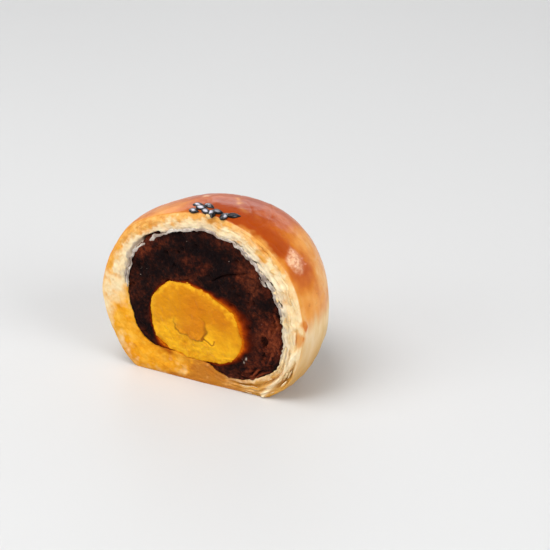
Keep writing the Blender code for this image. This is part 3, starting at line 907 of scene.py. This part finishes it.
def yolk_tones(points, share):
    """Where the yolk is deeper orange, above and right of its middle, and where bright yellow."""
    x, _, z = in_mm(points)
    wander = 1.6 * rough(points, 4, 94)
    over = near(np.hypot((x - 0.5) / 1.3, z - 20.5) + wander * 0.6, 0, 4.2)
    right = near(np.hypot(x - 7.5, z - 18.5) + wander * 0.6, 0, 3.8)
    low = ease(-(z + 0.25 * x) + wander, -14.2, -10.5)
    beside = 0.7 * near(np.hypot(x - 3.6, z - 14.5) + 0.4 * wander, 0, 1.8)
    top_edge = ease(share + 0.06 * rough(points, 1.2, 98), 0.86, 0.97) * (z > 17)
    edge = 0.8 * ease(share, 0.955, 1.0) * (x < 6)
    low_right = 0.9 * near(np.hypot(x - 8.0, z - 10.0), 0, 3.4)
    bright = np.clip(low + beside + low_right + 0.7 * top_edge + granules(points, share), 0, 1)
    bright = bright * np.clip(0.8 + 0.35 * rough(points, 1.6, 102, 3), 0, 1)
    return np.clip(over + right + edge, 0, 1) * (1 - 0.8 * bright), bright


def granules(points, share):
    """Pale grains along the yolk's upper right edge."""
    turn, _ = polar(points, YOLK_HEART)
    rim = near(share, 0.93, 0.05) * sector(turn, 72, 30)
    return rim * ease(noise(points, 0.7, 101), -0.1, 0.5)


def yolk_relief(points, share, core):
    """How far the face of the yolk stands out of the cut."""
    x, _, z = in_mm(points)
    waves = YOLK_RINGS_HEIGHT * np.sin(18 * share + 2.0 * noise(points, 4, 95)) * (1 - share)
    crumb = YOLK_CRUMB * rough(points, 1.3, 96, 4, 0.65) + YOLK_WAVES * noise(points, 4.5, 99)
    lumps = YOLK_LUMPS * rough(points, 1.8, 100, 3) * ease(-(z + 0.25 * x), -14, -11)
    chip, chance = grains(points, 1.6, 97)
    chips = near(chip, 0, 0.25) * (chance > 0.7) * ease(share, 0.3, 0.6)
    raised = CORE_HEIGHT * core * ease(x - 0.5 * z, -11.5, -6.5)
    raised = raised + GRANULE_HEIGHT * granules(points, share)
    raised = raised + CURL_HEIGHT * near(path_distance(points, CURL), 0.45, 0.3)
    bulge = YOLK_BULGE * (1 - share**3) - YOLK_ROUNDING * share**14
    return bulge + waves + crumb + lumps + raised - YOLK_CHIPS * chips


# Seeds and loose flakes

def seed_mesh():
    """A flat drop with a pointed tip and faint lengthwise ridges."""
    circle = np.arange(SEED_SIDES) * TURN / SEED_SIDES
    ridge = 1 + 0.035 * np.cos(6 * circle)
    rings = []
    for step in range(1, SEED_STEPS):
        t = step / SEED_STEPS
        swell = math.sin(math.pi * t) ** 0.72 * (1.12 - 0.50 * t)
        y = 0.5 * swell * np.cos(circle) * ridge
        z = 0.5 * swell * np.sign(np.sin(circle)) * np.abs(np.sin(circle)) ** 0.8 * ridge
        rings.append(np.stack([np.full_like(y, t - 0.5), y, z], axis=1))
    points = np.concatenate(rings + [[(-0.5, 0, 0), (0.5, 0, 0)]]) * SEED_SIZE * SEED_SWELL
    return points, ring_faces(len(rings), SEED_SIDES)


def join_copies(name, material, parts):
    """One mesh from (points, faces) pairs."""
    points, faces, start = [], [], 0
    for part_points, part_faces in parts:
        points.append(part_points)
        faces += [tuple(int(i) + start for i in face) for face in part_faces]
        start += len(part_points)
    return smooth_piece(name, material, np.concatenate(points), faces)


def make_seeds():
    """Copies of the seed, each laid along the slope of the skin, with a painted highlight on their upper
    sides.
    """
    points, faces = seed_mesh()
    tipward, sideways, upward = (points / SEED_SIZE).T
    # Painted highlight: each seed's upper side, toward one edge and its tip, is coloured pale where
    # light would catch it
    painted_highlight = ease(upward / upward.max() - 0.9 * sideways + 0.3 * tipward, 0.75, 1.1)
    rng = np.random.default_rng(7)
    parts, painted_highlights = [], []
    for across, behind, yaw, lift, highlight_strength in SEEDS:
        x, y = across * MM, behind * MM
        base = Vector(crown_point(x, y))
        right = Vector(crown_point(x + SLOPE_STEP, y)) - base
        back = Vector(crown_point(x, y + SLOPE_STEP)) - base
        along = right.normalized()
        normal = right.cross(back).normalized()
        lie = Matrix((along, normal.cross(along), normal)).transposed()
        spin = Matrix.Rotation(math.radians(yaw), 3, "Z")
        base += normal * (lift * MM + SEED_BED * SEED_SIZE[2])
        size = rng.uniform(0.92, 1.06)
        parts.append((points * size @ np.array(lie @ spin).T + np.array(base), faces))
        painted_highlights.append(highlight_strength * painted_highlight)
    piece = join_copies("sesame_seeds", seed_material(), parts)
    set_values(piece, "painted_highlight", np.concatenate(painted_highlights))
    return piece


def strip(front, thickness):
    """A closed thin sheet from a grid of points on its front."""
    rows, steps, _ = front.shape
    points = np.concatenate([front.reshape(-1, 3), (front + (0, thickness, 0)).reshape(-1, 3)])
    faces = []
    half = rows * steps
    for r in range(rows - 1):
        for s in range(steps - 1):
            a = r * steps + s
            faces.append((a, a + 1, a + steps + 1, a + steps))
            faces.append((half + a + steps, half + a + steps + 1, half + a + 1, half + a))
    rim = list(range(steps)) + [r * steps + steps - 1 for r in range(1, rows)]
    rim += [(rows - 1) * steps + s for s in range(steps - 2, -1, -1)]
    rim += [r * steps for r in range(rows - 2, 0, -1)]
    for a, b in zip(rim, rim[1:] + rim[:1]):
        faces.append((b, a, half + a, half + b))
    return points, faces


def shred(rng, turn, share, length, width, lift):
    """A thin curled scrap of pastry that follows the outline and stands off the cut."""
    angles = turn + np.linspace(-0.5, 0.5, SHRED_STEPS) * length / (20 * MM)
    hollow = hollow_reach(angles)
    edge = skin_edge(angles)
    bend = rng.uniform(-0.5, 0.5)
    grid = []
    taper = np.sin(np.pi * np.linspace(0.08, 0.92, SHRED_STEPS)) ** 0.6
    wave = 0.08 * MM * np.sin(6 * np.linspace(0, 1, SHRED_STEPS) + bend * 8)
    for t in np.linspace(0, 1, SHRED_ROWS):
        reach = hollow + (edge - hollow) * share - width * (t - 0.3) * taper
        ring = face_ring(reach, angles)
        ring[:, 1] = -layer_relief(angles, share) - lift * (0.2 + t**1.5) * taper - wave
        ring[:, 2] = np.maximum(ring[:, 2], SHRED_CLEAR)
        grid.append(ring)
    return strip(np.array(grid), SHRED_THICKNESS)


def loose_skin():
    """A thin strip of pastry that has come away along the paste at the upper left."""
    angles = np.radians(np.arange(*LOOSE_SKIN))
    hollow = hollow_reach(angles)
    taper = np.sin(np.pi * np.linspace(0.03, 0.97, len(angles))) ** 0.5
    wave = noise(face_ring(hollow, angles), 1.6, 111)
    rows = []
    for side in np.linspace(-0.5, 0.5, LOOSE_SKIN_ROWS):
        across = side * (0.62 + 0.30 * wave) * MM * taper - POCKET_OPEN * sector(angles, 128, 12)
        ring = face_ring(hollow + across + 0.12 * MM * wave, angles)
        ring[:, 1] = -0.12 * MM * math.cos(math.pi * side) - 0.10 * MM * wave
        rows.append(ring)
    return strip(np.array(rows), LOOSE_SKIN_THICKNESS)


def cream_chip():
    """A cream crumb of pastry that sits between the seeds."""
    rng = np.random.default_rng(23)
    flat = np.array(CHIP) * MM
    sides = len(flat)
    base = crown_point(*(np.array(CHIP_AT) * MM))
    low = np.concatenate([flat, np.full((sides, 1), -0.2 * MM)], axis=1)
    high = np.concatenate([0.7 * flat, rng.uniform(0.4, 0.7, (sides, 1)) * MM], axis=1)
    faces = [tuple(range(sides - 1, -1, -1)), tuple(range(sides, 2 * sides))]
    faces += [(a, (a + 1) % sides, sides + (a + 1) % sides, sides + a) for a in range(sides)]
    return np.concatenate([low, high]) + base, faces


def make_shreds(name, places, seed, extra, material):
    """One piece of shreds scattered over some places, with one extra part."""
    rng = np.random.default_rng(seed)
    parts = [extra]
    for low, high, count, share_low, share_high in places:
        for _ in range(count):
            turn = math.radians(rng.uniform(low, high))
            share = rng.uniform(share_low, share_high)
            length = rng.uniform(0.8, 3.0) * MM
            width = rng.uniform(0.25, 0.6) * MM
            parts.append(shred(rng, turn, share, length, width, rng.uniform(0.10, 0.35) * MM))
    return join_copies(name, material, parts)


# Materials

class Nodes:
    """A short way to write the nodes of a material, or of a world."""

    def __init__(self, name, kind="materials", shader="Principled BSDF"):
        self.owner = getattr(bpy.data, kind).new(name)
        self.owner.use_nodes = True
        self.tree = self.owner.node_tree
        self.shader = self.tree.nodes[shader]
        self.coordinates = self.tree.nodes.new("ShaderNodeTexCoord").outputs

    def put(self, socket, value):
        if isinstance(value, bpy.types.NodeSocket):
            self.tree.links.new(value, socket)
        else:
            socket.default_value = value

    def add(self, kind, output, inputs, **settings):
        """Add a node, fill its inputs with numbers or sockets, and give one of its outputs."""
        node = self.tree.nodes.new(kind)
        for key, value in settings.items():
            setattr(node, key, value)
        for key, value in inputs.items():
            self.put(node.inputs[key], value)
        return node.outputs[output]

    def value(self, label):
        return self.add("ShaderNodeAttribute", "Fac", {}, attribute_name=label)

    def noise(self, scale, detail=4.0, roughness=0.55, stretch=None):
        place = self.coordinates["Object"]
        if stretch:
            place = self.add("ShaderNodeMapping", "Vector", {"Vector": place, "Scale": stretch})
        inputs = {"Vector": place, "Scale": scale, "Detail": detail, "Roughness": roughness}
        return self.add("ShaderNodeTexNoise", "Fac", inputs)

    def cells(self, scale):
        inputs = {"Vector": self.coordinates["Object"], "Scale": scale}
        return self.add("ShaderNodeTexVoronoi", "Distance", inputs)

    def math(self, operation, a, b=0.0, c=0.0):
        return self.add("ShaderNodeMath", "Value", {0: a, 1: b, 2: c}, operation=operation)

    def fit(self, value, low, high, to_low=0.0, to_high=1.0):
        inputs = {"Value": value, "From Min": low, "From Max": high, "To Min": to_low, "To Max": to_high}
        return self.add("ShaderNodeMapRange", "Result", inputs, interpolation_type="SMOOTHSTEP")

    def ramp(self, value, stops):
        tone = self.add("ShaderNodeValToRGB", "Color", {"Fac": value})
        elements = tone.node.color_ramp.elements
        while len(elements) < len(stops):
            elements.new(1.0)
        for element, (at, colour) in zip(elements, stops):
            element.position = at
            element.color = (*colour, 1.0)
        return tone

    def mix(self, share, a, b):
        a, b = (c if isinstance(c, bpy.types.NodeSocket) else (*c, 1.0) for c in (a, b))
        return self.add("ShaderNodeMix", 2, {0: share, 6: a, 7: b}, data_type="RGBA")

    def tint(self, colour, stains):
        """Lay further colours over one, where an attribute says and as strongly as its share."""
        for label, share, stain in stains:
            colour = self.mix(self.math("MULTIPLY", self.value(label), share), colour, stain)
        return colour

    def bump(self, height, strength, distance, under=None):
        inputs = {"Height": height, "Strength": strength, "Distance": distance}
        if under:
            inputs["Normal"] = under
        return self.add("ShaderNodeBump", "Normal", inputs)

    def finish(self, **sockets):
        for label, value in sockets.items():
            self.put(self.shader.inputs[label.replace("_", " ")], value)
        return self.owner


def pastry_material():
    n = Nodes("pastry_look")
    brown = n.math("ADD", n.value("brown"), n.math("MULTIPLY_ADD", n.noise(420, 5), 0.20, -0.10))
    glaze = n.ramp(brown, (
        (0.10, (0.84, 0.46, 0.15)), (0.30, (0.77, 0.30, 0.045)), (0.50, (0.64, 0.18, 0.009)),
        (0.72, (0.49, 0.088, 0.002)), (0.95, (0.37, 0.050, 0.001)),
    ))
    freckle = n.fit(n.noise(900, 3), 0.60, 0.72)
    glaze = n.mix(n.math("MULTIPLY", freckle, 0.30), glaze, (0.38, 0.07, 0.004))
    glaze = n.tint(glaze, [("vein", 0.75, (0.74, 0.30, 0.06))])
    # Painted highlight: the wrinkled patch is coloured pale as if catching light; the chip behind the
    # seeds takes the same pale colour
    wrinkle_glint = n.math("MULTIPLY", n.value("crinkle_and_glint"), n.fit(n.noise(1300, 3), 0.36, 0.60, 0.45, 1.0))
    glaze = n.mix(wrinkle_glint, glaze, (0.90, 0.53, 0.31))
    pale = n.ramp(n.noise(300, 5, stretch=(1, 1, 0.35)), (
        (0.30, (0.72, 0.48, 0.22)), (0.55, (0.79, 0.59, 0.34)), (0.80, (0.82, 0.67, 0.46)),
    ))
    pale = n.tint(pale, [("foot", 0.80, (0.48, 0.245, 0.055))])
    skin = n.mix(n.value("wash"), pale, glaze)
    toasted = n.ramp(n.noise(480, 5, 0.65), (
        (0.30, (0.62, 0.21, 0.022)), (0.50, (0.75, 0.34, 0.062)), (0.70, (0.82, 0.48, 0.15)),
    ))
    skin = n.mix(n.value("lip"), skin, toasted)

    crumb = n.ramp(n.noise(520, 6, 0.65), (
        (0.28, (0.78, 0.52, 0.22)), (0.43, (0.88, 0.66, 0.36)), (0.66, (0.91, 0.75, 0.47)),
    ))
    oiled = n.ramp(n.noise(380, 5), (
        (0.30, (0.74, 0.26, 0.008)), (0.50, (0.86, 0.38, 0.016)), (0.70, (0.91, 0.48, 0.06)),
    ))
    face = n.mix(n.value("oil"), crumb, oiled)
    face = n.tint(face, [
        ("tan", 0.88, (0.47, 0.155, 0.018)),
        ("streak", 0.78, (0.64, 0.32, 0.042)),
        ("white", 0.70, (0.84, 0.74, 0.56)),
        ("grey", 0.80, (0.40, 0.31, 0.25)),
        ("toast", 0.90, toasted),
        # painted shade
        ("dark", 0.85, (0.09, 0.045, 0.026)),
        ("stain", 0.90, (0.36, 0.065, 0.001)),
        ("drip", 0.80, (0.70, 0.25, 0.03)),
    ])
    colour = n.mix(n.value("cut"), skin, face)

    not_cut = n.math("SUBTRACT", 1.0, n.value("cut"))
    bare = n.math("MULTIPLY_ADD", n.value("lip"), -0.8, 1.0)
    glossy = n.math("MULTIPLY", n.math("MULTIPLY", n.value("wash"), not_cut), bare)
    fine = n.bump(n.noise(1500, 4), 0.35, 0.0001)
    wrinkle = n.bump(n.noise(330, 3), 0.30, 0.0003, fine)
    return n.finish(
        Base_Color=colour,
        Roughness=n.fit(glossy, 0, 1, 0.75, 0.45),
        Coat_Weight=n.math("MULTIPLY", glossy, 0.44),
        Coat_Roughness=0.14,
        Specular_IOR_Level=0.06,
        Subsurface_Weight=0.12,
        Subsurface_Radius=(0.0016, 0.0009, 0.0005),
        Normal=wrinkle,
    )


def shred_material(name, dark, middle, light):
    n = Nodes(name)
    colour = n.ramp(n.noise(300, 4), ((0.32, dark), (0.50, middle), (0.70, light)))
    return n.finish(
        Base_Color=colour, Roughness=0.6, Subsurface_Weight=0.15, Specular_IOR_Level=0.3,
        Subsurface_Radius=(0.0012, 0.0008, 0.0005), Normal=n.bump(n.noise(1400, 3), 0.3, 0.0001),
    )


def paste_material():
    n = Nodes("paste_look")
    fine_noise = n.noise(1000, 6, 0.75)
    broad_noise = n.noise(150, 3, 0.6)
    mixed = n.math("ADD", n.math("MULTIPLY", fine_noise, 0.55), n.math("MULTIPLY", broad_noise, 0.55))
    mixed = n.math("ADD", mixed, n.math("MULTIPLY", n.value("ridge"), 0.10))
    # darker over the yolk, and painted shade along the seam on the right
    mixed = n.math("ADD", mixed, n.math("MULTIPLY", n.value("dark_band_and_seam_shade"), -0.10))
    colour = n.ramp(mixed, (
        (0.46, (0.0065, 0.0031, 0.0034)), (0.54, (0.015, 0.0052, 0.0042)),
        (0.61, (0.044, 0.0100, 0.0056)), (0.72, (0.135, 0.030, 0.012)),
    ))
    redder = n.ramp(mixed, (
        (0.45, (0.012, 0.0046, 0.0038)), (0.54, (0.064, 0.0120, 0.0062)),
        (0.62, (0.140, 0.027, 0.0100)), (0.74, (0.25, 0.056, 0.021)),
    ))
    # redder on the right; the holes stay dark as painted shade
    colour = n.mix(n.value("red_and_hole_shade"), colour, redder)
    specks = n.fit(n.cells(1100), 0.16, 0.08)
    rare = n.fit(n.noise(700, 2), 0.64, 0.70)
    colour = n.mix(n.math("MULTIPLY", specks, rare), colour, (0.42, 0.33, 0.27))
    colour = n.tint(colour, [("speck", 0.8, (0.55, 0.46, 0.38))])
    oil = n.ramp(n.value("halo"), (
        (0.0, (0.012, 0.004, 0.003)), (0.35, (0.085, 0.008, 0.001)), (0.70, (0.30, 0.036, 0.001)),
        (1.0, (0.62, 0.150, 0.001)),
    ))
    colour = n.mix(n.fit(n.value("halo"), 0.02, 0.30), colour, oil)
    rough_value = n.fit(n.noise(600, 4), 0.35, 0.7, 0.42, 0.75)
    fine = n.bump(n.noise(1100, 5, 0.7), 0.8, 0.00025)
    return n.finish(Base_Color=colour, Roughness=rough_value, Specular_IOR_Level=0.03, Normal=fine)


def yolk_material():
    n = Nodes("yolk_look")
    mottled = n.ramp(n.noise(230, 6, 0.65), (
        (0.30, (0.62, 0.226, 0.001)), (0.50, (0.69, 0.27, 0.002)), (0.70, (0.78, 0.34, 0.005)),
    ))
    colour = n.tint(mottled, [
        ("deep", 0.85, (0.60, 0.185, 0.001)),
        ("bright", 0.80, (0.93, 0.49, 0.012)),
        ("core", 0.75, (0.61, 0.190, 0.002)),
        # painted shadow line at the core's edge and along the curl
        ("shadow_line", 0.90, (0.27, 0.078, 0.002)),
    ])
    fine = n.bump(n.noise(1300, 5, 0.65), 0.5, 0.00015)
    return n.finish(
        Base_Color=colour, Roughness=n.fit(n.noise(500, 4), 0.3, 0.7, 0.34, 0.55),
        Subsurface_Weight=0.15, Subsurface_Radius=(0.0014, 0.0007, 0.0002), Normal=fine,
        Specular_IOR_Level=0.12,
    )


def seed_material():
    n = Nodes("seed_look")
    colour = n.ramp(n.noise(900, 4), ((0.35, (0.001, 0.001, 0.001)), (0.75, (0.004, 0.004, 0.005))))
    # The pale colour is a painted highlight on the seeds' upper sides
    painted_highlight = n.math("MULTIPLY", n.value("painted_highlight"), n.fit(n.noise(750, 3), 0.36, 0.52, 0.1, 1.0))
    colour = n.mix(painted_highlight, colour, (0.66, 0.64, 0.72))
    return n.finish(
        Base_Color=colour, Roughness=0.30, Coat_Weight=0.25, Coat_Roughness=0.08,
        Specular_IOR_Level=0.22, Normal=n.bump(n.noise(1600, 3), 0.25, 0.0001),
    )


# Studio

def point_at(obj, target):
    obj.rotation_euler = (Vector(target) - obj.location).to_track_quat("-Z", "Y").to_euler()


def add_light(name, place, target, size, power):
    light = bpy.data.lights.new(name, "AREA")
    light.shape = "RECTANGLE"
    light.size, light.size_y = size
    light.energy = power
    lamp = bpy.data.objects.new(name, light)
    lamp.location = place
    bpy.context.scene.collection.objects.link(lamp)
    point_at(lamp, target)


def make_world():
    """Soft grey surroundings, brighter near the horizon."""
    n = Nodes("studio", "worlds", "Background")
    up = n.add("ShaderNodeSeparateXYZ", "Z", {"Vector": n.coordinates["Generated"]})
    strength = n.fit(up, 0.10, 0.42, 0.72, 0.24)
    bpy.context.scene.world = n.finish(Color=(0.96, 0.97, 1.0, 1.0), Strength=strength)


def make_studio():
    """Camera, floor and lights."""
    camera_data = bpy.data.cameras.new("camera")
    camera_data.lens = CAMERA_LENS
    camera_data.clip_start = 0.01
    camera = bpy.data.objects.new("camera", camera_data)
    level = math.cos(CAMERA_ELEVATION) * CAMERA_DISTANCE
    camera.location = CAMERA_TARGET + Vector((
        math.sin(CAMERA_AZIMUTH) * level,
        -math.cos(CAMERA_AZIMUTH) * level,
        math.sin(CAMERA_ELEVATION) * CAMERA_DISTANCE,
    ))
    bpy.context.scene.collection.objects.link(camera)
    point_at(camera, CAMERA_TARGET)
    bpy.context.scene.camera = camera

    mesh = bpy.data.meshes.new("floor")
    corners = [(x * FLOOR_REACH, y * FLOOR_REACH, 0) for x, y in ((-1, -1), (1, -1), (1, 1), (-1, 1))]
    mesh.from_pydata(corners, [], [(0, 1, 2, 3)])
    look = Nodes("floor_look").finish(Base_Color=(0.66, 0.66, 0.655, 1.0), Roughness=0.5)
    floor = add_piece("floor", mesh, look)

    for name, settings in LIGHTS.items():
        add_light(name, *settings)
    make_world()
    bpy.context.scene.view_settings.view_transform = "Standard"


def main():
    make_studio()
    pastry = make_pastry()
    seeds = make_seeds()
    grey = make_shreds("inner_shreds", GREY_SHREDS, 17, loose_skin(), shred_material(
        "inner_shred_look", (0.22, 0.15, 0.11), (0.42, 0.34, 0.29), (0.80, 0.74, 0.64)
    ))
    pale = make_shreds("pastry_shreds", PALE_SHREDS, 18, cream_chip(), shred_material(
        "pastry_shred_look", (0.70, 0.44, 0.17), (0.88, 0.66, 0.36), (0.93, 0.78, 0.52)
    ))
    paste = make_paste()
    yolk = make_yolk()
    for piece, node, slot in (
        (pastry, "crust", "pastry"), (seeds, "crust", "black_sesame"), (grey, "crust", "pastry"),
        (pale, "crust", "pastry"), (paste, "filling", "sesame_paste"), (yolk, "yolk", "yolk"),
    ):
        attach(piece, "root")
        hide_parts(node)


main()
